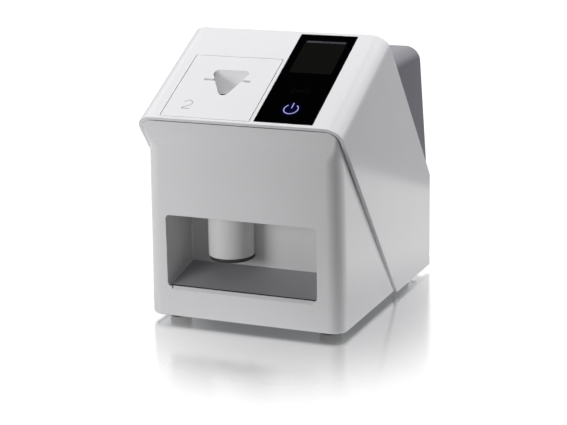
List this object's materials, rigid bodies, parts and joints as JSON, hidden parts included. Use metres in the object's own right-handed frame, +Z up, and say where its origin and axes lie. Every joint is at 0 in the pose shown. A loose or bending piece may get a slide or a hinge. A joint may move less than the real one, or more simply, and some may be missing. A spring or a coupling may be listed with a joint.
{
  "type": "phosphor plate scanner",
  "caption": "Desktop dental imaging plate scanner: plates go into a funnel insert in the sloping panel beside a touch display, pass a turning scan ring and drop into a front bay.",
  "frame": {"origin": "on the table, under the middle of the scanner's outline", "axes": "+Z up; -Y towards the user, where the bay opens; +X to the side the display is on"},
  "size_m": [0.2, 0.2514, 0.2604],
  "materials": {
    "gloss_white_abs": "moulded, gloss",
    "satin_grey_abs": "moulded, satin",
    "light_grey_abs": "moulded, satin",
    "slate_grey_abs": "moulded, satin",
    "black_glass": "polished, printed black behind",
    "display_black": "flat display surface",
    "black_rubber": "matte",
    "bright_steel": "bright",
    "mill_aluminium": "machined",
    "zinc_plated_sheet": "zinc plated",
    "black_nylon": "moulded, matte",
    "green_board": "solder mask",
    "blue_card": "moulded"
  },
  "bodies": {
    "scanner": {"base_plate": "zinc_plated_sheet", "base_screw_back_left": "bright_steel", "base_screw_back_right": "bright_steel", "base_screw_front_left": "bright_steel", "base_screw_front_right": "bright_steel", "belt_lower_back": "black_rubber", "belt_lower_front": "black_rubber", "belt_upper_back": "black_rubber", "belt_upper_front": "black_rubber", "card_socket": "bright_steel", "cover_screw_left": "bright_steel", "cover_screw_right": "bright_steel", "display_board": "green_board", "display_glass": "black_glass", "display_panel": "display_black", "drive_motor": "bright_steel", "erase_ring": "green_board", "fan_housing": "black_nylon", "foot_back_left": "black_rubber", "foot_back_right": "black_rubber", "foot_front_left": "black_rubber", "foot_front_right": "black_rubber", "front_housing": "gloss_white_abs", "hood": "gloss_white_abs", "infeed_guide": "black_nylon", "insert_seat": "black_nylon", "laser_module": "mill_aluminium", "light_detector": "black_nylon", "main_board": "green_board", "network_socket": "bright_steel", "outlet_chute": "light_grey_abs", "outlet_ring": "black_rubber", "output_bay": "satin_grey_abs", "power_board": "green_board", "power_inlet": "black_nylon", "rear_cover": "slate_grey_abs", "rear_panel": "zinc_plated_sheet", "reset_switch": "black_nylon", "rotor_motor": "bright_steel", "scan_housing": "black_nylon", "scan_lid": "black_nylon", "scanner_frame": "zinc_plated_sheet", "side_plate_left": "mill_aluminium", "side_plate_right": "mill_aluminium", "supply_transformer": "bright_steel"},
    "insert": {"plate_insert": "gloss_white_abs"},
    "scan_ring": {"scan_rotor": "mill_aluminium"},
    "drive_wheel": {"rotor_wheel": "black_rubber"},
    "fan": {"fan_rotor": "black_nylon"},
    "button": {"reset_button": "black_rubber"},
    "card": {"memory_card": "blue_card"},
    "roller_lower_front_bottom": {"roller_lower_front_bottom": "black_nylon"},
    "roller_lower_front_top": {"roller_lower_front_top": "black_nylon"},
    "roller_lower_back_bottom": {"roller_lower_back_bottom": "black_nylon"},
    "roller_lower_back_top": {"roller_lower_back_top": "black_nylon"},
    "roller_upper_front_bottom": {"roller_upper_front_bottom": "black_nylon"},
    "roller_upper_front_top": {"roller_upper_front_top": "black_nylon"},
    "roller_upper_back_bottom": {"roller_upper_back_bottom": "black_nylon"},
    "roller_upper_back_top": {"roller_upper_back_top": "black_nylon"}
  },
  "joints": [
    {"name": "insert_lift", "type": "slide", "parent": "scanner", "child": "insert", "axis": [0, -0.461, 0.8874], "range_m": [0, 0.06]},
    {"name": "scan_ring_spin", "type": "hinge", "parent": "scanner", "child": "scan_ring", "pos_m": [-0.03, -0.07305, 0.155], "axis": [0, 0, 1], "continuous": true},
    {"name": "drive_wheel_spin", "type": "hinge", "parent": "scanner", "child": "drive_wheel", "pos_m": [0.01, -0.07305, 0.155], "axis": [0, 0, 1], "continuous": true},
    {"name": "fan_spin", "type": "hinge", "parent": "scanner", "child": "fan", "pos_m": [-0.055, 0.11164, 0.06825], "axis": [0, 1, 0], "continuous": true},
    {"name": "reset_press", "type": "slide", "parent": "scanner", "child": "button", "axis": [0, -1, 0], "range_m": [0, 0.0012], "stiffness_N_per_m": 400},
    {"name": "card_slide", "type": "slide", "parent": "scanner", "child": "card", "axis": [0, 1, 0], "range_m": [0, 0.02]},
    {"name": "roller_upper_front_top_spin", "type": "hinge", "parent": "scanner", "child": "roller_upper_front_top", "pos_m": [-0.03, -0.08095, 0.186], "axis": [1, 0, 0], "continuous": true},
    {"name": "roller_lower_front_bottom_spin", "type": "hinge", "parent": "scanner", "child": "roller_lower_front_bottom", "pos_m": [-0.03, -0.08095, 0.122], "axis": [1, 0, 0], "continuous": true},
    {"name": "roller_lower_front_top_spin", "type": "hinge", "parent": "scanner", "child": "roller_lower_front_top", "pos_m": [-0.03, -0.08095, 0.14], "axis": [1, 0, 0], "continuous": true},
    {"name": "roller_lower_back_bottom_spin", "type": "hinge", "parent": "scanner", "child": "roller_lower_back_bottom", "pos_m": [-0.03, -0.06515, 0.122], "axis": [1, 0, 0], "continuous": true},
    {"name": "roller_lower_back_top_spin", "type": "hinge", "parent": "scanner", "child": "roller_lower_back_top", "pos_m": [-0.03, -0.06515, 0.14], "axis": [1, 0, 0], "continuous": true},
    {"name": "roller_upper_front_bottom_spin", "type": "hinge", "parent": "scanner", "child": "roller_upper_front_bottom", "pos_m": [-0.03, -0.08095, 0.17], "axis": [1, 0, 0], "continuous": true},
    {"name": "roller_upper_back_bottom_spin", "type": "hinge", "parent": "scanner", "child": "roller_upper_back_bottom", "pos_m": [-0.03, -0.06515, 0.17], "axis": [1, 0, 0], "continuous": true},
    {"name": "roller_upper_back_top_spin", "type": "hinge", "parent": "scanner", "child": "roller_upper_back_top", "pos_m": [-0.03, -0.06515, 0.186], "axis": [1, 0, 0], "continuous": true}
  ],
  "couplings": [
    {"joint": "drive_wheel_spin", "follows": "scan_ring_spin", "ratio": -6.94},
    {"joint": "roller_lower_front_bottom_spin", "follows": "roller_upper_front_top_spin", "ratio": 1},
    {"joint": "roller_lower_front_top_spin", "follows": "roller_upper_front_top_spin", "ratio": 1},
    {"joint": "roller_lower_back_bottom_spin", "follows": "roller_upper_front_top_spin", "ratio": -1},
    {"joint": "roller_lower_back_top_spin", "follows": "roller_upper_front_top_spin", "ratio": -1},
    {"joint": "roller_upper_front_bottom_spin", "follows": "roller_upper_front_top_spin", "ratio": 1},
    {"joint": "roller_upper_back_bottom_spin", "follows": "roller_upper_front_top_spin", "ratio": -1},
    {"joint": "roller_upper_back_top_spin", "follows": "roller_upper_front_top_spin", "ratio": -1}
  ]
}
